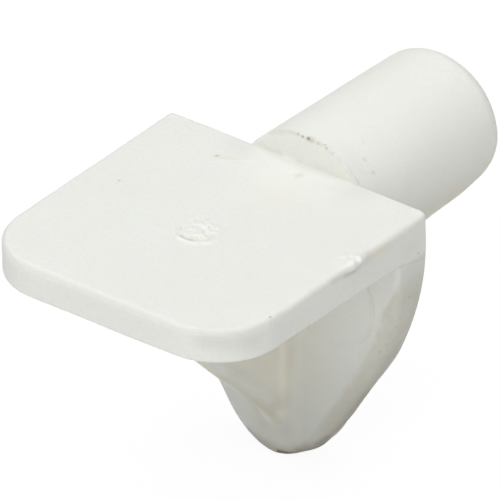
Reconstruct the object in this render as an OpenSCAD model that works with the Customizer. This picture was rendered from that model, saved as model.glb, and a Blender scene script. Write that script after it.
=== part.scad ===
// Shelf support pin for a bored cabinet side: a round pin goes into the hole, a flat
// back plate bears on the cabinet wall, and a ledge braced by a rib carries the shelf.
// The whole support is one moulding. The mould parts along the wall side of the back
// plate, so the ledge, the rib and the pin's nose all narrow away from there.
//
// The origin is on the pin's axis, at the wall. +Y goes into the wall along the pin,
// -Y is out into the room, and +Z is up.

/* [Pin] */
// Diameter of the pin where it fills the hole
pin_d = 6.35; // [5:0.05:7.5]
// Length of the pin, from the wall to the middle of its end
pin_length = 9.2; // [8:0.1:14]
// Length of the tapered nose at the pin's end
nose_length = 4.1; // [2:0.1:6]
// How much the nose narrows on each side, from the shank to its rim
nose_taper = 0.15; // [0.05:0.05:0.6]
// Radius round the rim of the pin's end
rim_r = 0.7; // [0.2:0.05:1.2]
// Radius of the shallow crown on the pin's end
crown_r = 10; // [6:0.5:40]
// Height of the ledge's top above the pin's axis
ledge_above_axis = 1.95; // [1:0.05:2.8]
// Sideways shift of the pin from the middle of the ledge, left by the mould halves
pin_shift = 0.35; // [0:0.05:0.6]

/* [Ledge] */
// Width of the ledge and of the back plate below it
ledge_w = 12.7; // [10.5:0.1:18]
// Depth of the ledge, from the wall to its front edge
ledge_depth = 12.4; // [12:0.1:20]
// Thickness of the ledge where it leaves the back plate
ledge_t_wall = 1.7; // [1.5:0.05:2.5]
// Thickness of the ledge at its front edge
ledge_t_front = 1.45; // [1:0.05:1.5]
// Radius of the two front corners, seen from above
corner_r = 2.8; // [1:0.1:4]
// Radius along the ledge's top edge
edge_r = 0.2; // [0.1:0.05:0.5]

/* [Back plate] */
// Thickness of the back plate
plate_t = 1.7; // [1.2:0.1:3]
// Drop of the back plate, from the ledge's top to its tip
plate_drop = 12.75; // [12:0.05:18]
// Radius of the two arcs that meet at the tip
tip_r = 3.6; // [2.5:0.1:4.5]
// How far each of the two arcs has its centre past the middle, which leaves a blunt point
tip_cross = 0.6; // [0.2:0.05:1]
// Radius of the shoulders that carry the sides in towards the tip
shoulder_r = 12.5; // [9:0.1:15]
// Depth below the ledge's top at which the shoulders start
shoulder_drop = 1.1; // [0.8:0.1:3]

/* [Rib] */
// Thickness of the rib where it leaves the back plate
rib_t_root = 1.4; // [1:0.05:2.4]
// Thickness of the rib at the front
rib_t_front = 0.8; // [0.5:0.05:1]
// Distance from the wall to where the rib's edge meets the ledge
rib_reach = 10.8; // [8:0.1:11]
// Depth below the ledge's top at which the rib's edge meets the back plate
rib_drop = 11.1; // [8:0.1:11.5]
// Radius of the fillets in the corners between the plate, the rib and the ledge
fillet_r = 0.4; // [0.2:0.05:0.8]

/* [Hidden] */
$fn = 96;
plastic = [0.93, 0.93, 0.90];

// How far the forms run into each other, so that they join as one solid
overlap = 0.5;
// How far a rounded form stays off a flush or tangent fit, so that the faces cross cleanly
slack = 0.02;
// How far the plate's straight flanks sit inside the arcs that they run into, likewise
flank_sink = 0.005;

half_w = ledge_w / 2;
pin_r = pin_d / 2;

// The rim of the pin's end sits in the corner between the nose and the crown. The crown's
// centre, the rim's centre and the point where the two arcs meet lie on one line.
shank_length = pin_length - nose_length;
rim_x = pin_r - nose_taper - rim_r;
crown_y = pin_length - crown_r;
rim_y = crown_y + sqrt(pow(crown_r - rim_r, 2) - pow(rim_x, 2));
crown_edge = [0, crown_y] + [rim_x, rim_y - crown_y] * crown_r / (crown_r - rim_r);

// The plate's flank is the line that touches both its shoulder and its arc at the tip.
// The two centres are measured from the middle of the ledge's top edge.
shoulder_c = [half_w - shoulder_r, -shoulder_drop];
tip_c = [-tip_cross, sqrt(pow(tip_r, 2) - pow(tip_cross, 2)) - plate_drop];
centres = shoulder_c - tip_c;
flank_angle = acos((tip_r - shoulder_r) / norm(centres)) - atan2(centres[1], centres[0]);
flank_normal = [cos(flank_angle), -sin(flank_angle)];
flank_top = shoulder_c + (shoulder_r - flank_sink) * flank_normal;
flank_foot = tip_c + (tip_r - flank_sink) * flank_normal;
shoulder_foot = flank_top[1] - overlap;

// The ledge's underside slopes: its thickness at a distance from the wall
ledge_slope = (ledge_t_wall - ledge_t_front) / (ledge_depth - plate_t);
function ledge_t(distance) = ledge_t_wall - ledge_slope * (distance - plate_t);

// The rib's free edge, seen from the side as distance from the wall and height
rib_foot = [plate_t, -rib_drop];
rib_tip = [rib_reach, -ledge_t(rib_reach)];
rib_run = (rib_tip - rib_foot) / norm(rib_tip - rib_foot);
rib_inward = [-rib_run[1], rib_run[0]];
// The axis of the round bar along that edge
bar_foot = rib_foot + rib_inward * rib_t_root / 2;
bar_tip = rib_tip + rib_inward * rib_t_front / 2;
bar_run = bar_tip - bar_foot;
bar_length = norm(bar_run);

// Stands a shape drawn in X and Z against the wall, with its thickness out into the room
module against_wall(thickness) {
    rotate([90, 0, 0]) linear_extrude(thickness) children();
}

// Stands a shape, drawn as distance from the wall and height, across the ledge's middle
module across_middle(width) {
    translate([width / 2, 0, 0]) rotate([90, 0, -90]) linear_extrude(width) children();
}

// A concave corner in section, which fills the angle between the lines x = 0 and y = 0
module fillet_section() {
    reach = fillet_r - slack;
    difference() {
        translate([-overlap, -overlap]) square(overlap + reach);
        translate([reach, reach]) circle(fillet_r, $fn = 48);
    }
}

// The plate's face: rounded into the ledge's top edge, straight at the sides, then
// shoulders, flanks and a blunt tip
module plate_outline() {
    translate([-half_w, -shoulder_drop]) square([ledge_w, shoulder_drop - edge_r]);
    translate([edge_r - half_w, -shoulder_drop]) square([ledge_w - 2 * edge_r, shoulder_drop]);
    for (side = [-1, 1]) translate([side * (half_w - edge_r), -edge_r]) circle(edge_r, $fn = 48);
    intersection() {
        translate(shoulder_c) circle(shoulder_r);
        translate([-shoulder_c[0], shoulder_c[1]]) circle(shoulder_r);
        translate([-half_w, shoulder_foot]) square([ledge_w, -shoulder_drop - shoulder_foot]);
    }
    polygon([
        flank_top, flank_foot, [-flank_foot[0], flank_foot[1]], [-flank_top[0], flank_top[1]]
    ]);
    intersection() {
        translate(tip_c) circle(tip_r);
        translate([-tip_c[0], tip_c[1]]) circle(tip_r);
    }
}

module back_plate() {
    against_wall(plate_t) plate_outline();
}

// The ledge's rim in section: a wall from x = 0 out to x = width, rounded at its top
module rim_section(width, height) {
    translate([0, -height]) square([width, height - edge_r]);
    translate([0, -height]) square([width - edge_r, height]);
    translate([width - edge_r, -edge_r]) circle(edge_r, $fn = 48);
}

// A thick slab with the ledge's outline. The rounded rim runs along both sides, round
// the front corners and across the front, and a plain block fills its middle.
module ledge_blank(height) {
    middle_w = ledge_w - 2 * corner_r;
    side_run = ledge_depth - corner_r;
    translate([-middle_w / 2, -side_run, -height]) cube([middle_w, side_run, height]);
    translate([-middle_w / 2, -side_run, 0])
        rotate([90, 0, 90]) linear_extrude(middle_w) mirror([1, 0]) rim_section(corner_r, height);
    for (side = [0, 1]) mirror([side, 0, 0]) translate([middle_w / 2, 0, 0]) {
        against_wall(side_run) rim_section(corner_r, height);
        translate([0, -side_run, 0])
            rotate([0, 0, -90]) rotate_extrude(angle = 90) rim_section(corner_r, height);
    }
}

// The ledge from the side: flat on top, and thinner towards the front underneath
module ledge_side() {
    front = ledge_depth + overlap;
    polygon([[0, overlap], [front, overlap], [front, -ledge_t(front)], [0, -ledge_t(0)]]);
}

module ledge() {
    intersection() {
        ledge_blank(ledge_t_wall + overlap);
        across_middle(ledge_w + overlap) ledge_side();
    }
}

// The fillet in the corner between the back plate and the ledge's underside
module ledge_fillet() {
    intersection() {
        against_wall(plate_t + fillet_r) plate_outline();
        across_middle(ledge_w + overlap)
            translate([plate_t, -ledge_t_wall]) mirror([0, 1]) fillet_section();
    }
}

// The rib from above: it narrows to the front and has a fillet on each side at its root
module rib_plan() {
    polygon([
        [-rib_t_root / 2, overlap - plate_t], [-rib_t_root / 2, -plate_t],
        [-rib_t_front / 2, -rib_reach], [rib_t_front / 2, -rib_reach],
        [rib_t_root / 2, -plate_t], [rib_t_root / 2, overlap - plate_t]
    ]);
    for (side = [0, 1]) mirror([side, 0])
        translate([rib_t_root / 2, -plate_t]) mirror([0, 1]) fillet_section();
}

// The flat part of the rib, down to the axis of the bar along its edge
module rib_web() {
    below = bar_foot - bar_run;
    above = bar_tip + bar_run;
    intersection() {
        translate([0, 0, -plate_drop]) linear_extrude(plate_drop) rib_plan();
        across_middle(ledge_w) polygon([below, above, [below[0], above[1]]]);
    }
}

// The round bar along the rib's free edge, narrowing with the rib
module rib_bar() {
    translate([0, -bar_foot[0], bar_foot[1]])
        rotate([90 - atan2(bar_run[1], bar_run[0]), 0, 0])
            translate([0, 0, -overlap])
                cylinder(bar_length + 2 * overlap, rib_t_root / 2 - slack, rib_t_front / 2 - slack);
}

// Web and bar together, let into the back plate and into the ledge
module rib() {
    root = overlap - plate_t;
    top = -ledge_t_front / 2;
    intersection() {
        translate([-half_w, root - ledge_depth, top - plate_drop])
            cube([ledge_w, ledge_depth, plate_drop]);
        union() {
            rib_web();
            rib_bar();
        }
    }
}

// Half of the pin's section, from its axis out: a straight shank, then a tapered nose
// with a round rim and a shallow crown
module pin_section() {
    square([pin_r, shank_length]);
    polygon([
        [0, shank_length], [pin_r, shank_length], [rim_x + rim_r, rim_y], [rim_x, rim_y],
        crown_edge, [0, crown_edge[1]]
    ]);
    translate([rim_x, rim_y]) circle(rim_r, $fn = 48);
    intersection() {
        translate([0, crown_y]) circle(crown_r);
        translate([0, shank_length]) square([crown_edge[0], nose_length]);
    }
}

module pin() {
    rotate([-90, 0, 0]) rotate_extrude() pin_section();
}

// The whole moulding, set out from the pin's axis
module shelf_support_pin() {
    color(plastic) {
        pin();
        translate([-pin_shift, 0, ledge_above_axis]) {
            ledge();
            back_plate();
            ledge_fillet();
            rib();
        }
    }
}

shelf_support_pin();
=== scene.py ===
import math

import bpy
import numpy as np
import openvdb
from mathutils import Matrix, Vector, noise


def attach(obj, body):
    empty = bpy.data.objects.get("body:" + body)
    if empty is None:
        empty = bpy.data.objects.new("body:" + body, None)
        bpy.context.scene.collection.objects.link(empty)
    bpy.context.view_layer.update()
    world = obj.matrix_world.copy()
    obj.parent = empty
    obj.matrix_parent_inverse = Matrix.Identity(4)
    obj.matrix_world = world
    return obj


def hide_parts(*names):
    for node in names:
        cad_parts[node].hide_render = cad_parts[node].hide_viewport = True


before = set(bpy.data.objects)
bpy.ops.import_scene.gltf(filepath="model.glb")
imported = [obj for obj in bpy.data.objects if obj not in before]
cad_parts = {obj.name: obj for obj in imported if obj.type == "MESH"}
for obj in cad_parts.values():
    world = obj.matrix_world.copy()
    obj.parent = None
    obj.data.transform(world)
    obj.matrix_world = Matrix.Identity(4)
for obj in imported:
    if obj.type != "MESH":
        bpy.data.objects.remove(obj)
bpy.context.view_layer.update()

# ---------------------------------------------------------------------------
# The support: one moulding in off-white plastic, with a round pin for the hole, a
# plate against the cabinet wall, and a ledge with a rib under it for the shelf.
# The tool fills it through a gate on the ledge and pushes it out with two round pins.
# ---------------------------------------------------------------------------

MM = 0.001

# The moulding is worked out in millimetres from the middle of the ledge's back edge,
# and then stands with the pin's axis on the frame's origin.
PIN_SHIFT = 0.35
LEDGE_ABOVE_AXIS = 1.95

LEDGE_WIDTH = 12.7
LEDGE_DEPTH = 12.4
LEDGE_CORNER_RADIUS = 2.8
LEDGE_TOP_EDGE_RADIUS = 0.22
WORN_EDGE_RADIUS = 0.3
WORN_EDGE_RUN = 5.0
WORN_EDGE_STOP = 0.3
LEDGE_LOWER_EDGE_RADIUS = 0.12
LEDGE_THICKNESS_AT_PLATE = 1.7
LEDGE_THICKNESS_AT_FRONT = 1.45

PLATE_THICKNESS = 1.7
PLATE_DROP = 12.75
PLATE_TIP_RADIUS = 3.6
PLATE_TIP_CROSS = 0.6
PLATE_POINT_RADIUS = 0.3
PLATE_SHOULDER_RADIUS = 12.5
PLATE_SHOULDER_DROP = 1.1
PLATE_FRONT_EDGE_RADIUS = 0.2
RUBBED_PLATE_EDGE_RADIUS = 0.7
WALL_SIDE_EDGE_RADIUS = 0.1
RUBBED_WALL_SIDE_RADIUS = 0.4
# The lower edge changes from the ledge's to the plate's over this height.
EDGE_CHANGE = 2.0
# The plate's edges are rubbed on the right, from these depths down.
RUB_BLEND = 1.5
PLATE_RUBBED_BELOW = 2.5
TIP_RUBBED_BELOW = 7
TIP_RUB_RUN = 4

RIB_ROOT_THICKNESS = 1.4
RIB_FRONT_THICKNESS = 0.8
RIB_REACH = 10.8
RIB_DROP = 11.1
RIB_EDGE_LEAST = 0.2
RIB_EDGE_MOST = 0.7
RIB_EDGE_SHARE = 0.98
RIB_FILLET_RADIUS = 0.7
LEDGE_FILLET_RADIUS = 0.4

PIN_ROOT_RADIUS = 3.25
PIN_DRAFT = 0.03
PIN_LENGTH = 9.2
PIN_RIM_RADIUS = 0.6
PIN_CROWN_RADIUS = 12
PIN_ROOT_EDGE_RADIUS = 0.03


def rounded_edge(first, second, radius):
    """Where two surfaces of one solid meet in a rounded outside edge."""
    outside = np.hypot(np.maximum(first + radius, 0), np.maximum(second + radius, 0))
    return np.minimum(-radius, np.maximum(first, second)) + outside


def filled_corner(first, second, radius):
    """Where two solids meet in an inside corner with a fillet."""
    inside = np.hypot(np.maximum(radius - first, 0), np.maximum(radius - second, 0))
    return np.maximum(radius, np.minimum(first, second)) - inside


def ledge_outline(x, y):
    """The ledge from above: straight sides, two round front corners."""
    across = np.abs(x) - (LEDGE_WIDTH / 2 - LEDGE_CORNER_RADIUS)
    forward = -y - (LEDGE_DEPTH - LEDGE_CORNER_RADIUS)
    corner = np.hypot(np.maximum(across, 0), np.maximum(forward, 0))
    return corner + np.minimum(np.maximum(across, forward), 0) - LEDGE_CORNER_RADIUS


def plate_outline(x, z):
    """The plate from the wall side: straight sides, shoulders, flanks and a blunt tip."""
    across = np.abs(x)
    shoulder = np.array([LEDGE_WIDTH / 2 - PLATE_SHOULDER_RADIUS, -PLATE_SHOULDER_DROP])
    tip = np.array([-PLATE_TIP_CROSS, math.sqrt(PLATE_TIP_RADIUS**2 - PLATE_TIP_CROSS**2) - PLATE_DROP])
    apart = shoulder - tip
    lean = math.acos((PLATE_TIP_RADIUS - PLATE_SHOULDER_RADIUS) / np.hypot(*apart))
    lean -= math.atan2(apart[1], apart[0])
    out = np.array([math.cos(lean), -math.sin(lean)])
    down = np.array([-math.sin(lean), -math.cos(lean)])
    flank_length = (tip - shoulder) @ down
    run = (across - shoulder[0]) * down[0] + (z - shoulder[1]) * down[1]
    flank = (across - shoulder[0]) * out[0] + (z - shoulder[1]) * out[1] - PLATE_SHOULDER_RADIUS
    round_shoulder = np.hypot(across - shoulder[0], z - shoulder[1]) - PLATE_SHOULDER_RADIUS
    tip_arc = np.hypot(across - tip[0], z - tip[1]) - PLATE_TIP_RADIUS
    other_arc = np.hypot(across + tip[0], z - tip[1]) - PLATE_TIP_RADIUS
    round_tip = rounded_edge(tip_arc, other_arc, PLATE_POINT_RADIUS)
    side = across - LEDGE_WIDTH / 2
    below_shoulder = np.where(run < flank_length, flank, round_tip)
    below_side = np.where(run < 0, round_shoulder, below_shoulder)
    return np.where(z > shoulder[1], side, below_side)


def underside(y, z):
    """Height below the ledge's sloping underside."""
    slope = (LEDGE_THICKNESS_AT_PLATE - LEDGE_THICKNESS_AT_FRONT) / (LEDGE_DEPTH - PLATE_THICKNESS)
    thickness = LEDGE_THICKNESS_AT_PLATE + slope * (y + PLATE_THICKNESS)
    return -thickness - z


def rib(x, y, z):
    """The rib under the ledge: it narrows to the front, and its free edge is fully round."""
    forward = -y - PLATE_THICKNESS
    narrowing = (RIB_ROOT_THICKNESS - RIB_FRONT_THICKNESS) / (RIB_REACH - PLATE_THICKNESS)
    half_thickness = (RIB_ROOT_THICKNESS - narrowing * forward) / 2
    side = np.abs(x) - half_thickness
    rise = RIB_DROP - LEDGE_THICKNESS_AT_FRONT
    run = RIB_REACH - PLATE_THICKNESS
    edge = (forward * rise - (z + RIB_DROP) * run) / math.hypot(rise, run)
    edge_radius = np.clip(half_thickness, RIB_EDGE_LEAST, RIB_EDGE_MOST) * RIB_EDGE_SHARE
    return rounded_edge(side, edge, edge_radius)


def shank(x, y, z):
    """The pin's drafted side."""
    from_axis = np.hypot(x - PIN_SHIFT, z + LEDGE_ABOVE_AXIS)
    return from_axis - (PIN_ROOT_RADIUS - PIN_DRAFT * y)


def pin(x, y, z):
    """The pin: drafted along its length, with a round rim and a slightly crowned end."""
    from_axis = np.hypot(x - PIN_SHIFT, z + LEDGE_ABOVE_AXIS)
    crown_centre = PIN_LENGTH - PIN_CROWN_RADIUS
    crown = np.hypot(from_axis, y - crown_centre) - PIN_CROWN_RADIUS
    root = np.minimum(-y, np.maximum(-y - PLATE_THICKNESS / 2, z + PLATE_THICKNESS / 2))
    whole = rounded_edge(shank(x, y, z), crown, PIN_RIM_RADIUS)
    return rounded_edge(whole, root, PIN_ROOT_EDGE_RADIUS)


def top_edge_radius(x, y):
    """The ledge's right edge is rubbed round, but not at its back corner."""
    worn = np.clip(1 + y / WORN_EDGE_RUN, 0, 1) * np.clip(x, 0, 1)
    worn = worn * np.clip(-WORN_EDGE_STOP - y, 0, 1)
    return LEDGE_TOP_EDGE_RADIUS + (WORN_EDGE_RADIUS - LEDGE_TOP_EDGE_RADIUS) * worn


def lower_edge_radius(x, z):
    """The ledge's lower edge is crisp and the plate's softer, and rubbed on its right side."""
    on_ledge = np.clip(z / EDGE_CHANGE + 2, 0, 1)
    rubbed = np.clip(x / RUB_BLEND, 0, 1) * np.clip(-PLATE_RUBBED_BELOW - z, 0, 1)
    on_plate = PLATE_FRONT_EDGE_RADIUS + (RUBBED_PLATE_EDGE_RADIUS - PLATE_FRONT_EDGE_RADIUS) * rubbed
    return on_plate + (LEDGE_LOWER_EDGE_RADIUS - on_plate) * on_ledge


def wall_side_radius(x, z):
    """The edge on the wall side is crisp, but rubbed at the right of the tip."""
    below = np.clip((-TIP_RUBBED_BELOW - z) / TIP_RUB_RUN, 0, 1)
    rubbed = np.clip(x / RUB_BLEND, 0, 1) * below
    return WALL_SIDE_EDGE_RADIUS + (RUBBED_WALL_SIDE_RADIUS - WALL_SIDE_EDGE_RADIUS) * rubbed


def support(x, y, z):
    """Distance outside the whole moulding's surface, negative inside it."""
    under_ledge = filled_corner(underside(y, z), -PLATE_THICKNESS - y, LEDGE_FILLET_RADIUS)
    inner = filled_corner(under_ledge, rib(x, y, z), RIB_FILLET_RADIUS)
    outline = np.maximum(ledge_outline(x, y), plate_outline(x, z))
    body = rounded_edge(inner, outline, lower_edge_radius(x, z))
    body = rounded_edge(body, z, top_edge_radius(x, y))
    into_pin = np.maximum(y - PLATE_THICKNESS / 2, shank(x, y, z) + 2 * PIN_ROOT_EDGE_RADIUS)
    body = rounded_edge(body, np.minimum(y, into_pin), wall_side_radius(x, z))
    return filled_corner(body, pin(x, y, z), PIN_ROOT_EDGE_RADIUS)


def lines_through(stops, steps):
    """Grid lines along one axis, as close together between each two stops as its step says."""
    runs = []
    for start, end, step in zip(stops, stops[1:], steps):
        runs.append(np.linspace(start, end, max(1, round((end - start) / step)), endpoint=False))
    return np.concatenate(runs + [stops[-1:]])


# The skin is found on a grid whose lines stand closest at the back edge and round the gate,
# and widest along the plain pin.
CRISP = 0.04
FINEST = 0.06
FINE = 0.08
PLAIN = 0.12
COARSE = 0.18
x_lines = lines_through([-6.75, -1.1, 1.3, 6.9], [PLAIN, FINEST, PLAIN])
y_lines = lines_through(
    [-12.7, -7.9, -5.2, -3.6, -0.16, 0.16, 8.2, 9.5], [PLAIN, FINEST, FINE, FINE, CRISP, COARSE, FINE]
)
z_lines = lines_through([-12.9, -2.4, 0.3, 1.4, 2.0], [PLAIN, FINE, FINE, PLAIN])


def skin(distance, lines):
    """Corners and four-sided faces of the surface where the distance is nought."""
    grid = openvdb.FloatGrid(1.0)
    grid.copyFromArray(distance.astype(np.float32))
    corners, faces = grid.convertToQuads()
    places = [np.interp(corners[:, axis], np.arange(len(at)), at) for axis, at in enumerate(lines)]
    return np.stack(places, axis=1), faces


def slope_of(distance, points):
    """The direction in which the distance grows, by differences across a hair's breadth."""
    hair = 0.01
    columns = []
    for axis in range(3):
        step = np.zeros(3)
        step[axis] = hair
        columns.append((distance(*(points + step).T) - distance(*(points - step).T)) / (2 * hair))
    return np.stack(columns, axis=1)


field = support(x_lines[:, None, None], y_lines[None, :, None], z_lines[None, None, :])
points, faces = skin(field, [x_lines, y_lines, z_lines])
# The skin settles onto the exact surface in a few rounds.
SETTLING_ROUNDS = 4
for _ in range(SETTLING_ROUNDS):
    slope = slope_of(support, points)
    points -= (support(*points.T) / (slope**2).sum(axis=1))[:, None] * slope


def hump(distance, reach):
    """A smooth rise: 1 at no distance, and nothing from its reach on."""
    return np.clip(1 - (distance / reach) ** 2, 0, None) ** 2


def step_down(distance, width):
    """A smooth step: 1 well inside, 0 well outside, half way where the distance is nought."""
    across = np.clip(distance / width, -1, 1)
    return 0.5 - 0.5 * across * (1.5 - 0.5 * across**2)


def unevenness(places, lump_size, draw):
    """Smooth heights between -1 and 1 over the surface, with lumps of one size."""
    shift = Vector((draw, 0, 0))
    return np.array([noise.noise(Vector(place) / lump_size + shift) for place in places])


# The gate is cut off in a shallow round well in the ledge, which leaves a torn stub and a lip.
GATE_CENTRE = np.array([0.12, -6.3])
GATE_RADIUS = 0.87
GATE_DEPTH = 0.05
GATE_WALL = 0.07
GATE_TORN_WALL = 0.3
GATE_RAGGED = 0.1
GATE_RAGGED_SIZE = 0.4
GATE_FRAYED = 0.06
GATE_FRAYED_SIZE = 0.17
GATE_LIP_RADIUS = 0.98
GATE_LIP_WIDTH = 0.15
GATE_LIP_HEIGHT = 0.045
GATE_LIP_SIDE = np.array([0.42, -0.91])
GATE_LIP_LEAST = 0.35
STUB_HEIGHT = 0.13
STUB_LUMPS = 0.21
STUB_REACH = 1.3
STUB_OFF_MIDDLE = 0.1
STUB_LEAST = 0.6
STUB_TORN = 0.9
STUB_FRAYED = 0.6


def gate_mark(places):
    """Height of the gate mark over the ledge's top: crisp in front, torn and soft behind."""
    away = places[:, :2] - GATE_CENTRE
    radius = np.hypot(*away.T)
    radius += GATE_RAGGED * unevenness(places, GATE_RAGGED_SIZE, draw=3)
    radius += GATE_FRAYED * unevenness(places, GATE_FRAYED_SIZE, draw=5)
    towards_lip = (away @ GATE_LIP_SIDE) / np.maximum(radius, GATE_RAGGED)
    in_front = np.clip(GATE_LIP_LEAST + (1 - GATE_LIP_LEAST) * towards_lip, 0, 1)
    inside = step_down(radius - GATE_RADIUS, GATE_WALL + GATE_TORN_WALL * (1 - in_front))
    lip = GATE_LIP_HEIGHT * hump(radius - GATE_LIP_RADIUS, GATE_LIP_WIDTH) * in_front
    stub = hump(np.hypot(*(away - STUB_OFF_MIDDLE).T), STUB_REACH)
    torn = unevenness(places, STUB_LUMPS, draw=7)
    torn += STUB_FRAYED * unevenness(places, STUB_LUMPS / 2, draw=11)
    return inside * (STUB_HEIGHT * stub * (STUB_LEAST + STUB_TORN * torn) - GATE_DEPTH) + lip


# A knock on the ledge's right edge has pushed a burr outwards over it.
BURR_MIDDLE = -4.42
BURR_REACH = 1.0
BURR_OVERHANG = 0.22
BURR_LUMPS = 0.2
BURR_HEIGHT = 0.07
BURR_HANG = 0.4
BURR_HANG_MIDDLE = -0.05
BURR_ACROSS = 6.15
BURR_FOOT_WIDTH = 0.85
BURR_FOOT_LENGTH = 1.25
BURR_SIDE_EVEN = 0.95
BURR_SIDE_LUMPY = 0.6
BURR_TOP_EVEN = 0.7
BURR_TOP_LUMPY = 1.2


def burr(places, facing):
    """How far the burr stands off the ledge's right edge and off its top."""
    x, y, z = places.T
    lumps = unevenness(places, BURR_LUMPS, draw=17)
    hanging = BURR_OVERHANG * hump(y - BURR_MIDDLE, BURR_REACH) * hump(z - BURR_HANG_MIDDLE, BURR_HANG)
    hanging = hanging * (BURR_SIDE_EVEN + BURR_SIDE_LUMPY * lumps)
    over_ledge = (x - BURR_ACROSS) / BURR_FOOT_WIDTH
    along_edge = (y - BURR_MIDDLE) / BURR_FOOT_LENGTH
    on_top = BURR_HEIGHT * hump(np.hypot(over_ledge, along_edge), 1)
    on_top = on_top * (BURR_TOP_EVEN + BURR_TOP_LUMPY * lumps)
    outwards = np.clip(facing[:, 0], 0, 1)
    upwards = np.clip(facing[:, 2], 0, 1)
    return hanging * outwards + on_top * upwards


# An insert of the tool ends in a half round on the ledge in front of the pin.
# It stands a hair proud.
INSERT_MIDDLE = 0.6
INSERT_RADIUS = 2.6
INSERT_HEIGHT = 0.01
INSERT_EDGE = 0.3

# Two ejector pins leave round witness marks on the plate, one on each side of the rib.
EJECTOR_ACROSS = 2.84
EJECTOR_DROP = 4.32
EJECTOR_RADIUS = 2.13
EJECTOR_DEPTH = 0.015
EJECTOR_WALL = 0.09
EJECTOR_RIM = 0.035
EJECTOR_RIM_WIDTH = 0.1

# Every face is a little sunk and swollen, and finely rough.
SINK_HEIGHT = 0.02
SINK_SIZE = 2.6
ROUGHNESS_HEIGHT = 0.005
ROUGHNESS_SIZE = 0.3

# The plastic shrank unevenly as it cooled. These are the low and full places on the pin's
# end, the plate and its tip: the middle of each, its reach, and how far it rises.
WARPED = [
    ((2.8, 8.7, -3.85), 1.9, -0.09),
    ((2.5, 2.5, -4.3), 3.0, 0.04),
    ((2.5, -0.6, -11.1), 1.0, -0.05),
    ((1.75, -1.1, -12.0), 0.8, 0.05),
    ((-2.3, -1.7, -11.0), 2.0, -0.05),
    ((4.6, -0.6, -7.4), 2.0, 0.05),
]


def relief(places, facing):
    """Height of every mark that making and use have left on the plain moulding."""
    x, y, z = places.T
    height = SINK_HEIGHT * unevenness(places, SINK_SIZE, draw=23)
    for centre, reach, rise in WARPED:
        height += rise * hump(np.linalg.norm(places - centre, axis=1), reach)
    height += ROUGHNESS_HEIGHT * unevenness(places, ROUGHNESS_SIZE, draw=29)
    flat = 0.9
    flush = 0.1
    on_top = (facing[:, 2] > flat) & (z > -flush) & (y < 0)
    near_gate = on_top & (np.hypot(x - GATE_CENTRE[0], y - GATE_CENTRE[1]) < 2 * GATE_RADIUS)
    height[near_gate] += gate_mark(places[near_gate])
    at_right = x > BURR_ACROSS - BURR_FOOT_WIDTH
    near_burr = at_right & (np.abs(y - BURR_MIDDLE) < BURR_FOOT_LENGTH)
    height[near_burr] += burr(places[near_burr], facing[near_burr])
    from_insert = np.hypot(x - INSERT_MIDDLE, y) - INSERT_RADIUS
    height += on_top * INSERT_HEIGHT * step_down(from_insert, INSERT_EDGE)
    on_plate = (facing[:, 1] < -flat) & (np.abs(y + PLATE_THICKNESS) < flush)
    from_ejector = np.hypot(np.abs(x) - EJECTOR_ACROSS, z + EJECTOR_DROP) - EJECTOR_RADIUS
    height -= on_plate * EJECTOR_DEPTH * step_down(from_ejector, EJECTOR_WALL)
    height += on_plate * EJECTOR_RIM * hump(from_ejector, EJECTOR_RIM_WIDTH)
    return height


facing = slope_of(support, points)
facing /= np.linalg.norm(facing, axis=1)[:, None]
points += relief(points, facing)[:, None] * facing

to_frame = np.array([-PIN_SHIFT, 0, LEDGE_ABOVE_AXIS])
mesh = bpy.data.meshes.new("shelf_support_moulding")
mesh.from_pydata((points + to_frame) * MM, [], faces.tolist())
mesh.update()
mesh.shade_smooth()
moulding = bpy.data.objects.new("shelf_support_moulding", mesh)
bpy.context.collection.objects.link(moulding)

# The plastic is dull, and a little light passes under its skin.
SHINE = 0.15
LIGHT_UNDER_SKIN = 0.3
LIGHT_DEPTH = 0.5
LIGHT_DEPTH_BY_COLOUR = (1.0, 0.85, 0.65)
plastic = bpy.data.materials.new("off_white_plastic")
plastic.use_nodes = True
nodes = plastic.node_tree.nodes
links = plastic.node_tree.links
shader = nodes["Principled BSDF"]
shader.inputs["Specular IOR Level"].default_value = SHINE
shader.inputs["Subsurface Weight"].default_value = LIGHT_UNDER_SKIN
shader.inputs["Subsurface Scale"].default_value = LIGHT_DEPTH * MM
shader.inputs["Subsurface Radius"].default_value = LIGHT_DEPTH_BY_COLOUR


def node(kind, **settings):
    """A new shader node with its settings."""
    made = nodes.new("ShaderNode" + kind)
    for name, value in settings.items():
        setattr(made, name, value)
    return made


def feed(socket, value):
    """Gives a socket its value, from another socket or as it stands."""
    if isinstance(value, bpy.types.NodeSocket):
        links.new(value, socket)
    else:
        socket.default_value = value


def mixed(amount, below, above):
    """One colour over another, by an amount between 0 and 1."""
    mix = node("Mix", data_type="RGBA")
    factor, lower, upper, result = mix.inputs[0], mix.inputs[6], mix.inputs[7], mix.outputs[2]
    feed(factor, amount)
    feed(lower, below)
    feed(upper, above)
    return result


def calculated(operation, first, second):
    """One sum on two values."""
    sum_node = node("Math", operation=operation)
    feed(sum_node.inputs[0], first)
    feed(sum_node.inputs[1], second)
    return sum_node.outputs[0]


def all_of(*amounts):
    """Several amounts at once: each thins what the others leave."""
    together = amounts[0]
    for amount in amounts[1:]:
        together = calculated("MULTIPLY", together, amount)
    return together


def spread(value, low, high, at_low, at_high):
    """A value brought from one range to another with soft ends."""
    ramp = node("MapRange", interpolation_type="SMOOTHSTEP")
    links.new(value, ramp.inputs["Value"])
    ramp.inputs["From Min"].default_value = low
    ramp.inputs["From Max"].default_value = high
    ramp.inputs["To Min"].default_value = at_low
    ramp.inputs["To Max"].default_value = at_high
    return ramp.outputs["Result"]


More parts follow.
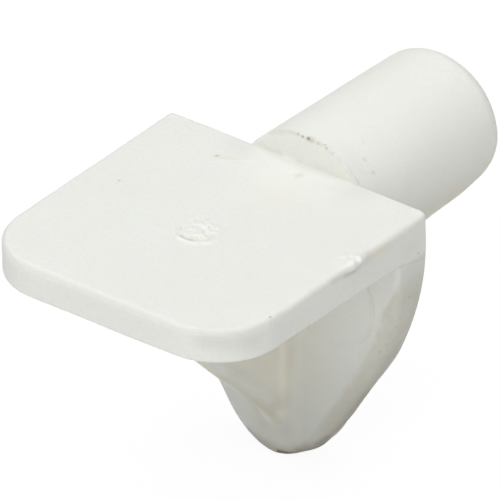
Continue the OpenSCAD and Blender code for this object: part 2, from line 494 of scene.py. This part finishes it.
def clouds(size, detail=2.0):
    """Even cloudy noise with lumps of a size in millimetres."""
    cloud = node("TexNoise")
    links.new(place_on_part, cloud.inputs["Vector"])
    cloud.inputs["Scale"].default_value = 1 / (size * MM)
    cloud.inputs["Detail"].default_value = detail
    return cloud


place_on_part = node("TexCoord").outputs["Object"]

# Dirt and painted shade have ragged edges, so their places are looked up a little to one
# side and the other.
RAGGED = 0.1
jitter = node("VectorMath", operation="MULTIPLY_ADD")
links.new(clouds(size=0.35, detail=4.0).outputs["Color"], jitter.inputs[0])
jitter.inputs[1].default_value = Vector((1, 1, 1)) * RAGGED * MM
jitter.inputs[2].default_value = Vector((-1, -1, -1)) * RAGGED / 2 * MM
ragged = node("VectorMath", operation="ADD")
links.new(place_on_part, ragged.inputs[0])
links.new(jitter.outputs[0], ragged.inputs[1])


def streak(start, end, width, strength):
    """A soft streak of colour between two places on the moulding, in millimetres."""
    first = Vector((np.array(start) + to_frame) * MM)
    run = Vector((np.array(end) - np.array(start)) * MM)
    local = node("VectorMath", operation="SUBTRACT")
    links.new(ragged.outputs[0], local.inputs[0])
    local.inputs[1].default_value = first
    nearest = local.outputs[0]
    if run.length > 0:
        share = node("VectorMath", operation="DOT_PRODUCT")
        links.new(local.outputs[0], share.inputs[0])
        share.inputs[1].default_value = run / run.length_squared
        kept = node("Clamp")
        links.new(share.outputs["Value"], kept.inputs["Value"])
        way_along = node("VectorMath", operation="SCALE")
        way_along.inputs[0].default_value = run
        links.new(kept.outputs[0], way_along.inputs["Scale"])
        off_line = node("VectorMath", operation="SUBTRACT")
        links.new(local.outputs[0], off_line.inputs[0])
        links.new(way_along.outputs[0], off_line.inputs[1])
        nearest = off_line.outputs[0]
    away = node("VectorMath", operation="LENGTH")
    links.new(nearest, away.inputs[0])
    return spread(away.outputs["Value"], 0, width * MM, strength, 0)


def ring(centre, radius, width, strength):
    """A soft ring of dirt round a place on the moulding, in millimetres."""
    local = node("VectorMath", operation="DISTANCE")
    links.new(ragged.outputs[0], local.inputs[0])
    local.inputs[1].default_value = Vector((np.array(centre) + to_frame) * MM)
    off_ring = calculated("ABSOLUTE", calculated("SUBTRACT", local.outputs["Value"], radius * MM), 0.0)
    return spread(off_ring, 0, width * MM, strength, 0)


def dirtied_and_shaded(colour, dirt_and_shade_colour, marks):
    """A colour with streaks of dirt and painted shade, each given by its two ends, width and strength.
    """
    amount = 0.0
    for mark in marks:
        amount = calculated("MAXIMUM", streak(*mark), amount)
    return mixed(amount, colour, dirt_and_shade_colour)


facing_split = node("SeparateXYZ")
links.new(node("NewGeometry").outputs["Normal"], facing_split.inputs[0])
place_split = node("SeparateXYZ")
links.new(ragged.outputs[0], place_split.inputs[0])


def turned(axis, low, high, at_low, at_high):
    """An amount that changes as the surface turns towards one axis."""
    return spread(facing_split.outputs[axis], low, high, at_low, at_high)


def along(axis, low, high, at_low, at_high):
    """An amount that changes between two places on one axis, in millimetres."""
    return spread(place_split.outputs[axis], low * MM, high * MM, at_low, at_high)


facing_up = turned("Z", 0.5, 0.8, 0, 1)
facing_room = turned("Y", -0.8, -0.5, 1, 0)

# The plastic itself, with a little unevenness in its colour, coarse and fine.
CLEAN_WHITE = (0.86, 0.87, 0.825, 1)
AGED_WHITE = (0.85, 0.855, 0.81, 1)
MOTTLED_WHITE = (0.83, 0.835, 0.79, 1)
aged = spread(clouds(size=3.5).outputs["Fac"], 0.4, 0.65, 0, 0.7)
mottled = spread(clouds(size=0.14, detail=3.0).outputs["Fac"], 0.4, 0.7, 0, 0.75)
colour = mixed(mottled, mixed(aged, CLEAN_WHITE, AGED_WHITE), MOTTLED_WHITE)

# The pin is painted a little whiter than the rest of the moulding.
PIN_WHITE = (0.93, 0.935, 0.865, 1)
colour = mixed(along("Y", 0.05, 0.3, 0, 0.4), colour, PIN_WHITE)

# Yellowed patches: round the gate, a trail on the ledge, along the back edge, beside the
# burr, and under the pin. Along the back edge, an inside corner, and on the pin's downward
# side they are partly painted shade.
YELLOW_STAIN_AND_SHADE = (0.80, 0.77, 0.62, 1)
colour = dirtied_and_shaded(colour, YELLOW_STAIN_AND_SHADE, [
    ((0.5, -6.75, 0), (0.75, -6.5, 0), 0.35, 0.2),
    ((0.45, -5.75, 0), (0.8, -5.7, 0), 0.3, 0.28),
    ((-2.76, -1.59, 0), (-1.97, -1.42, 0), 0.28, 0.5),
    # Partly painted shade in the inside corner along the pin's root.
    ((-1.9, -0.05, 0), (2.8, -0.05, 0), 0.4, 0.14),
    ((6.35, -3.8, -0.28), (6.35, -2.5, -0.4), 0.42, 0.4),
    # Partly painted shade on the pin's downward side.
    ((3.0, 0.8, -3.9), (2.6, 8.5, -4.3), 1.7, 0.32),
])

# The rib's root and the plate beside it are stained by years of grease and dust.
STAINED = (0.89, 0.85, 0.71, 1)
colour = dirtied_and_shaded(colour, STAINED, [
    ((0.7, -2.2, -2.0), (0.7, -1.9, -9.5), 3.0, 0.6),
    ((0.4, -6.0, -4.0), (0.5, -3.0, -8.0), 2.2, 0.65),
])

# The half round of the insert is a little whiter.
INSERT_WHITE = (0.90, 0.915, 0.87, 1)
insert = ring((INSERT_MIDDLE, 0, 0), 0, 2 * INSERT_RADIUS, 1)
colour = mixed(all_of(spread(insert, 0.4, 0.62, 0, 0.22), facing_up), colour, INSERT_WHITE)

# The marks of the ejector pins are rimmed with dirt, broken here and there.
RIMMED = (0.62, 0.56, 0.42, 1)
RIM_OUTSIDE = 0.06
RIM_WIDTH = 0.09
RIM_STRENGTH = 0.3
for across in (-EJECTOR_ACROSS, EJECTOR_ACROSS):
    ejector = (across, -PLATE_THICKNESS, -EJECTOR_DROP)
    rim = ring(ejector, EJECTOR_RADIUS + RIM_OUTSIDE, RIM_WIDTH, RIM_STRENGTH)
    broken = spread(clouds(size=1.6).outputs["Fac"], 0.42, 0.6, 0.15, 1)
    colour = mixed(all_of(rim, broken, facing_room), colour, RIMMED)

# Painted shade on the ledge's top along its back edge, where the pin blocks light from behind.
BACK_EDGE_SHADE = (0.72, 0.73, 0.69, 1)
back_edge_shade = streak((-2.2, -0.1, 0), (2.9, -0.1, 0), 1.7, 0.5)
colour = mixed(all_of(back_edge_shade, facing_up), colour, BACK_EDGE_SHADE)

# Painted shade on the plate under the ledge, darker towards the tip and on the right, and on
# the rib's front, darker lower down, where less light reaches. None is painted on the side
# that was against the wall.
DUST_AND_SHADE_GREY = (0.60, 0.605, 0.57, 1)
before_pin = along("Y", 0, 0.3, 1, 0)
on_rib = along("Y", -2.1, -1.8, 1, 0)
off_wall = turned("Y", 0.5, 0.8, 1, 0)
on_plate = all_of(calculated("SUBTRACT", before_pin, on_rib), off_wall)
sideways = calculated("ABSOLUTE", facing_split.outputs["X"], 0.0)
under_ledge = along("Z", 0.0, 0.3, 0.2, 0)
on_flank = all_of(spread(sideways, 0.02, 0.35, 0, 0.8), under_ledge)
towards_tip = along("Z", -8.8, -1.8, 0.66, 0)
to_the_right = along("X", 0.5, 1.2, 0.5, 1)
plate_shade = calculated("ADD", calculated("ADD", under_ledge, on_flank), towards_tip)
plate_shade = all_of(plate_shade, to_the_right, on_plate)
rib_shade = all_of(along("Z", -7.0, -2.0, 0.72, 0), along("Y", -6.2, -4.5, 1, 0))
plate_and_rib_shade = calculated("ADD", plate_shade, rib_shade)
colour = mixed(plate_and_rib_shade, colour, DUST_AND_SHADE_GREY)
# Grey streaks: dust and painted shade at the tip, the rib's lower end and the ledge's front right
# corner.
colour = dirtied_and_shaded(colour, DUST_AND_SHADE_GREY, [
    ((-0.7, -1.7, -12.2), (0.1, -1.7, -12.3), 1.2, 0.45),
    ((0.4, -5.1, -7.6), (0.3, -2.5, -10.2), 1.15, 0.55),
    ((0.7, -1.9, -9.9), (0.8, -1.7, -11.9), 1.0, 0.52),
    ((4.9, -12.1, -0.4), (6.1, -10.7, -0.6), 0.8, 0.3),
    # Painted shade along the plate's rounded front right edge, which tones down its highlight.
    ((5.96, -1.7, -2.4), (5.4, -1.68, -4.4), 0.45, 0.2),
    ((5.4, -1.68, -4.4), (4.4, -1.7, -6.6), 0.45, 0.22),
    ((4.4, -1.7, -6.6), (3.8, -1.68, -7.85), 0.45, 0.15),
])

# Painted shade on the ledge's rounded front edge, which tones down its highlight, and grime
# with painted shade along the pin's root, which tones down the rim's highlight.
EDGE_SHADE_AND_GRIME = (0.66, 0.67, 0.63, 1)
leaning = all_of(turned("Z", 0.15, 0.5, 0, 1), turned("Z", 0.86, 0.99, 1, 0))
at_front = along("Y", -10.2, -8.2, 0.42, 0)
colour = mixed(all_of(at_front, leaning), colour, EDGE_SHADE_AND_GRIME)
# Grime and painted shade along the arc of the pin's root.
colour = dirtied_and_shaded(colour, EDGE_SHADE_AND_GRIME, [
    ((0.0, 0, 1.25), (0.9, 0, 1.25), 0.15, 0.45),
    ((0.9, 0, 1.25), (1.46, 0.02, 1.1), 0.15, 0.45),
    ((1.46, 0.02, 1.1), (1.97, 0.02, 0.86), 0.16, 0.5),
    ((1.97, 0.02, 0.86), (2.44, 0.02, 0.54), 0.18, 0.7),
    ((2.44, 0.02, 0.54), (2.9, 0.02, 0.06), 0.2, 0.85),
])

# White scuffs: the gate's lip, the burr, the chipped back corner, and scratches.
SCUFFED = (0.91, 0.92, 0.89, 1)
colour = dirtied_and_shaded(colour, SCUFFED, [
    ((-0.2, -6.1, 0), (0.6, -5.85, 0), 0.5, 0.3),
    ((-0.1, -7.35, 0), (0.5, -7.27, 0), 0.16, 0.8),
    ((0.5, -7.27, 0), (0.95, -6.9, 0), 0.16, 0.6),
    ((5.7, -4.2, 0), (6.35, -4.0, 0), 0.5, 0.15),
    ((6.0, -4.9, 0), (6.4, -4.5, -0.1), 0.4, 0.15),
    ((5.9, -0.15, 0), (6.35, -0.3, 0), 0.3, 0.5),
    ((-2.41, -1.75, 0), (-1.36, -1.06, 0), 0.1, 0.6),
    ((1.9, 0.15, 0.9), (2.7, 0.1, 0.3), 0.35, 0.25),
    ((-0.2, -0.05, 0.05), (-0.6, -0.05, 0.05), 0.18, 0.5),
])

# Olive grime round the pin's root, and specks on the pin. In the inside corners at the pin's
# root and between the plate and the rib, along the ledge's lower right edge, under the burr,
# at the tip, along the rib's downward-facing edge and under the pin it is also painted shade.
OLIVE = (0.52, 0.45, 0.28, 1)
colour = dirtied_and_shaded(colour, OLIVE, [
    # Grime and painted shade in the inside corner at the pin's root.
    ((-2.3, -0.02, 0.05), (-0.8, -0.02, 0.05), 0.18, 0.07),
    ((0.9, -0.02, 0.05), (2.8, -0.02, 0.05), 0.18, 0.05),
    ((-1.4, 0.0, 0.82), (-0.9, 0.0, 1.04), 0.2, 0.26),
    ((-0.9, 0.0, 1.04), (-0.6, 0.0, 1.17), 0.2, 0.3),
    ((-0.6, 0.0, 1.17), (0.0, 0.0, 1.25), 0.16, 0.32),
    # Grime and painted shade under the ledge's lower right edge.
    ((6.35, -1.5, -1.66), (6.35, -9.2, -1.48), 0.1, 0.22),
    ((0.68, -0.84, 0), (0.72, -0.74, 0), 0.24, 0.26),
    # Grime and painted shade in the corner between the plate and the rib.
    ((0.95, -1.85, -3.0), (0.93, -1.87, -7.44), 0.35, 0.14),
    ((0.3, -2.6, -10.1), (0.6, -2.4, -9.9), 0.8, 0.26),
    # Grime and painted shade in the corner between the plate and the rib.
    ((0.93, -1.87, -7.44), (0.83, -1.98, -9.96), 0.35, 0.2),
    ((6.35, -1.43, -1.2), (6.35, -0.92, -1.07), 0.5, 0.05),
    # Grime and painted shade under the burr.
    ((6.35, -5.9, -0.2), (6.35, -4.3, -0.45), 0.25, 0.16),
    # Grime and painted shade at the tip and along the rib's downward-facing edge.
    ((-0.3, -1.7, -11.3), (0.5, -1.7, -11.5), 1.5, 0.15),
    ((0.15, -8.0, -4.35), (0.2, -5.3, -7.25), 0.4, 0.2),
    ((0.2, -5.3, -7.25), (0.25, -3.4, -9.25), 0.4, 0.3),
    ((0.25, -3.4, -9.25), (0.3, -1.95, -10.85), 0.5, 0.38),
    # Grime and painted shade under the pin.
    ((3.0, 1.5, -3.3), (2.6, 8.0, -3.8), 1.9, 0.22),
    ((2.0, 1.62, 0.8), (2.0, 1.62, 0.8), 0.1, 0.25),
    ((2.48, 1.06, 0.48), (2.5, 1.1, 0.44), 0.14, 0.25),
    ((2.91, 1.07, 0.02), (2.91, 1.07, 0.02), 0.14, 0.3),
])

# The plate's sides, where dirt has rubbed into the edge with a ragged border. It reaches onto
# the rounded front edge as painted shade, which tones down that edge's highlight.
GREYED_OLIVE = (0.50, 0.455, 0.32, 1)
ragged_border = spread(clouds(size=0.45, detail=4.0).outputs["Fac"], 0.3, 0.7, -0.08, 0.08)
on_side = spread(calculated("ADD", sideways, ragged_border), 0.16, 0.46, 0, 1)
off_middle = calculated("ABSOLUTE", place_split.outputs["X"], 0.0)
off_rib = spread(off_middle, 1.3 * MM, 2.2 * MM, 0, 1)
at_rim = calculated("MAXIMUM", off_rib, along("Z", -10.4, -9.6, 1, 0))
behind_rib = along("Y", -1.9, -1.75, 0, 1)
below_ledge = along("Z", -1.4, -0.2, 1, 0)
rubbed = spread(clouds(size=0.5, detail=6.0).outputs["Fac"], 0.36, 0.64, 0.28, 0.39)
side_dirt_and_shade = all_of(on_side, at_rim, behind_rib, before_pin, below_ledge, rubbed)
colour = mixed(side_dirt_and_shade, colour, GREYED_OLIVE)

# Brown dirt on the very edge of the tip, darkened further as painted shade where the tip
# faces down.
TIP_BROWN = (0.16, 0.11, 0.06, 1)
colour = dirtied_and_shaded(colour, TIP_BROWN, [
    ((-1.3, -1.66, -12.1), (-0.4, -1.66, -12.5), 0.3, 0.28),
    ((0.15, -1.68, -12.52), (1.0, -1.62, -12.38), 0.25, 0.9),
    ((1.9, -1.38, -11.65), (2.3, -1.28, -11.25), 0.4, 0.45),
    ((0.3, -1.66, -12.56), (1.15, -1.53, -12.2), 0.14, 0.6),
    ((1.15, -1.53, -12.2), (1.65, -1.17, -12.0), 0.2, 0.65),
    ((1.65, -1.17, -12.0), (2.1, -1.15, -11.6), 0.25, 0.75),
    ((-0.7, -1.0, -12.55), (0.5, -0.8, -12.6), 0.9, 0.45),
    ((-0.8, -1.66, -12.4), (0.3, -1.66, -12.55), 0.5, 0.35),
    ((0.3, -1.66, -12.55), (1.15, -1.5, -12.2), 0.55, 0.38),
    ((1.15, -1.5, -12.2), (2.1, -1.15, -11.6), 0.65, 0.45),
    ((2.1, -1.15, -11.6), (2.75, -0.7, -10.65), 0.65, 0.42),
    ((2.75, -0.7, -10.65), (3.7, -0.6, -9.0), 0.75, 0.26),
    ((3.7, -0.6, -9.0), (5.0, -0.6, -6.5), 0.8, 0.12),
])

# Brown dirt: inside the gate's rim, round the pin's root, under the burr, and specks. Under
# the burr and along the ledge's lower right edge at the back it is also painted shade.
BROWN = (0.30, 0.21, 0.09, 1)
colour = dirtied_and_shaded(colour, BROWN, [
    ((-0.25, -7.05, 0), (0.02, -7.15, 0), 0.12, 0.3),
    ((0.02, -7.15, 0), (0.32, -7.1, 0), 0.12, 0.4),
    ((0.4, -7.08, 0), (0.85, -6.72, 0), 0.1, 0.1),
    ((0.8, -6.7, 0), (0.8, -6.7, 0), 0.1, 0.15),
    ((0.6, -6.15, 0), (0.82, -6.0, 0), 0.1, 0.1),
    ((0.29, -6.49, 0), (0.32, -6.31, 0), 0.1, 0.14),
    ((-0.2, -6.3, 0), (0.05, -6.38, 0), 0.12, 0.16),
    ((-0.62, -6.65, 0), (-0.5, -6.75, 0), 0.09, 0.16),
    ((-2.76, -1.59, 0), (-2.76, -1.59, 0), 0.13, 0.4),
    ((-4.68, -5.31, 0), (-4.68, -5.31, 0), 0.1, 0.35),
    ((0.05, 0, 1.26), (0.05, 0, 1.26), 0.11, 0.35),
    ((0.26, 0, 1.22), (0.26, 0, 1.22), 0.1, 0.7),
    ((0.56, 0, 1.22), (0.56, 0, 1.22), 0.135, 1.0),
    ((0.56, 0, 1.22), (0.7, 0, 1.22), 0.22, 0.3),
    ((0.56, 0, 1.22), (1.3, 0.03, 1.17), 0.07, 0.2),
    ((1.01, 0, 1.18), (1.01, 0, 1.18), 0.11, 0.35),
    ((1.32, 0.1, 1.16), (1.32, 0.1, 1.16), 0.09, 0.45),
    ((1.43, 0.02, 1.09), (1.43, 0.02, 1.09), 0.1, 0.45),
    ((1.71, 0.02, 0.97), (1.71, 0.02, 0.97), 0.12, 0.2),
    # Dirt and painted shade under the burr.
    ((6.35, -5.2, -0.35), (6.4, -4.5, -0.48), 0.16, 0.16),
    ((6.35, -0.53, -1.62), (6.35, -0.53, -1.62), 0.09, 0.45),
    # Dirt and painted shade along the ledge's lower right edge at the back.
    ((6.35, -3.3, -1.66), (6.35, -1.5, -1.72), 0.06, 0.2),
    ((6.35, -1.5, -1.72), (6.32, -0.2, -2.05), 0.06, 0.13),
    ((6.22, -9.72, 0), (6.22, -9.72, 0), 0.1, 0.55),
    ((6.0, -1.59, -3.99), (6.0, -1.59, -3.99), 0.09, 0.4),
    ((4.3, -1.63, -7.92), (4.33, -1.6, -7.8), 0.13, 0.65),
    ((3.19, -1.69, -9.55), (3.19, -1.69, -9.55), 0.12, 0.55),
    ((6.11, -0.8, -3.55), (6.11, -0.85, -3.65), 0.08, 0.4),
    ((5.92, -1.45, -4.1), (5.92, -1.45, -4.1), 0.08, 0.22),
    ((5.72, -1.2, -4.9), (5.72, -1.2, -4.9), 0.09, 0.22),
    ((5.35, -1.35, -5.75), (5.35, -1.35, -5.75), 0.1, 0.22),
    ((5.15, -1.5, -6.1), (5.1, -1.5, -6.2), 0.08, 0.25),
])
links.new(colour, shader.inputs["Base Color"])

# A satin skin: a little rougher in clouds, and with a very fine grain.
SMOOTHEST = 0.5
ROUGHEST = 0.64
rough = spread(clouds(size=0.8).outputs["Fac"], 0.3, 0.7, SMOOTHEST, ROUGHEST)
links.new(rough, shader.inputs["Roughness"])
GRAIN_SIZE = 0.12
GRAIN_DEPTH = 0.02
GRAIN_STRENGTH = 0.6
grain = node("Bump")
grain.inputs["Strength"].default_value = GRAIN_STRENGTH
grain.inputs["Distance"].default_value = GRAIN_DEPTH * MM
links.new(clouds(size=GRAIN_SIZE, detail=3.0).outputs["Fac"], grain.inputs["Height"])
links.new(grain.outputs[0], shader.inputs["Normal"])
mesh.materials.append(plastic)

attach(moulding, "root")
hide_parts("shelf_support_pin")

# ---------------------------------------------------------------------------
# The floor: a sheet of pale paper that the support's tip stands on. It takes the support's
# shadow, and looks white.
# ---------------------------------------------------------------------------

FLOOR_SIZE = 1.2
half_floor = FLOOR_SIZE / 2
floor_level = (LEDGE_ABOVE_AXIS - PLATE_DROP) * MM
floor_corners = [
    (-half_floor, -half_floor, floor_level),
    (half_floor, -half_floor, floor_level),
    (half_floor, half_floor, floor_level),
    (-half_floor, half_floor, floor_level),
]
floor_mesh = bpy.data.meshes.new("floor")
floor_mesh.from_pydata(floor_corners, [], [(0, 1, 2, 3)])
floor = bpy.data.objects.new("floor", floor_mesh)
bpy.context.collection.objects.link(floor)


def seen_ray(tree):
    """1 where the ray comes from the camera, or from it by way of a gloss or a clear thing."""
    path = tree.nodes.new("ShaderNodeLightPath")
    seen = path.outputs["Is Camera Ray"]
    for name in ("Is Glossy Ray", "Is Transmission Ray"):
        either = tree.nodes.new("ShaderNodeMath")
        either.operation = "MAXIMUM"
        tree.links.new(seen, either.inputs[0])
        tree.links.new(path.outputs[name], either.inputs[1])
        seen = either.outputs[0]
    return seen


PAPER = (0.8, 0.8, 0.8, 1)
PAPER_IN_SHADOW = (0.1, 0.1, 0.1, 1)
PAPER_GLOW = 0.93
paper = bpy.data.materials.new("pale_paper")
paper.use_nodes = True
paper_nodes = paper.node_tree.nodes
paper_links = paper.node_tree.links
paper_nodes.clear()
paper_end = paper_nodes.new("ShaderNodeOutputMaterial")
plain = paper_nodes.new("ShaderNodeBsdfDiffuse")
plain.inputs["Color"].default_value = PAPER
faint = paper_nodes.new("ShaderNodeBsdfDiffuse")
faint.inputs["Color"].default_value = PAPER_IN_SHADOW
glow = paper_nodes.new("ShaderNodeEmission")
glow.inputs["Strength"].default_value = PAPER_GLOW
as_seen = paper_nodes.new("ShaderNodeAddShader")
paper_links.new(faint.outputs[0], as_seen.inputs[0])
paper_links.new(glow.outputs[0], as_seen.inputs[1])
either_way = paper_nodes.new("ShaderNodeMixShader")
paper_links.new(seen_ray(paper.node_tree), either_way.inputs[0])
paper_links.new(plain.outputs[0], either_way.inputs[1])
paper_links.new(as_seen.outputs[0], either_way.inputs[2])
paper_links.new(either_way.outputs[0], paper_end.inputs[0])
floor_mesh.materials.append(paper)

# ---------------------------------------------------------------------------
# The light: pale walls all round, a wide soft lamp overhead, and a fainter one in front,
# low and to the right.
# ---------------------------------------------------------------------------

WALLS_LIGHT = 0.2
WALLS_SEEN = 1.0
room = bpy.data.worlds.new("white_room")
bpy.context.scene.world = room
room.use_nodes = True
walls = room.node_tree.nodes["Background"]
walls.inputs["Color"].default_value = (1, 1, 1, 1)
level = room.node_tree.nodes.new("ShaderNodeMapRange")
room.node_tree.links.new(seen_ray(room.node_tree), level.inputs["Value"])
level.inputs["To Min"].default_value = WALLS_LIGHT
level.inputs["To Max"].default_value = WALLS_SEEN
room.node_tree.links.new(level.outputs["Result"], walls.inputs["Strength"])


def soft_lamp(name, size, power, place):
    """A round soft lamp that shines on the support."""
    lamp_data = bpy.data.lights.new(name, "AREA")
    lamp_data.shape = "DISK"
    lamp_data.size = size
    lamp_data.energy = power
    lamp = bpy.data.objects.new(name, lamp_data)
    lamp.location = place
    lamp.rotation_euler = Vector(place).to_track_quat("Z", "Y").to_euler()
    bpy.context.collection.objects.link(lamp)


soft_lamp("wide_lamp", size=1.0, power=3.96, place=(0.05, -0.1, 0.55))
soft_lamp("front_lamp", size=0.5, power=0.93, place=(0.135, -0.555, 0.16))

# ---------------------------------------------------------------------------
# The camera: above the ledge's front right corner and far off, with a long lens, so that
# the support's edges run nearly parallel.
# ---------------------------------------------------------------------------

CAMERA_AZIMUTH = 38.5146
CAMERA_ELEVATION = 31.6931
CAMERA_ROLL = -0.9247
CAMERA_DISTANCE = 0.8
CAMERA_AIM = Vector((-0.0012141, -0.002, -0.0014626))
CAMERA_LENS = 1473.36
CAMERA_NEAREST = 0.01
CAMERA_FARTHEST = 5
camera_data = bpy.data.cameras.new("camera")
camera_data.lens = CAMERA_LENS
camera_data.clip_start = CAMERA_NEAREST
camera_data.clip_end = CAMERA_FARTHEST
camera = bpy.data.objects.new("camera", camera_data)
camera_turn = Matrix.Rotation(math.radians(CAMERA_AZIMUTH), 4, "Z")
camera_turn = camera_turn @ Matrix.Rotation(math.radians(90 - CAMERA_ELEVATION), 4, "X")
camera_turn = camera_turn @ Matrix.Rotation(math.radians(CAMERA_ROLL), 4, "Z")
camera_back = camera_turn.to_3x3() @ Vector((0, 0, CAMERA_DISTANCE))
camera.matrix_world = Matrix.Translation(CAMERA_AIM + camera_back) @ camera_turn
bpy.context.collection.objects.link(camera)
bpy.context.scene.camera = camera
bpy.context.scene.view_settings.view_transform = "Standard"
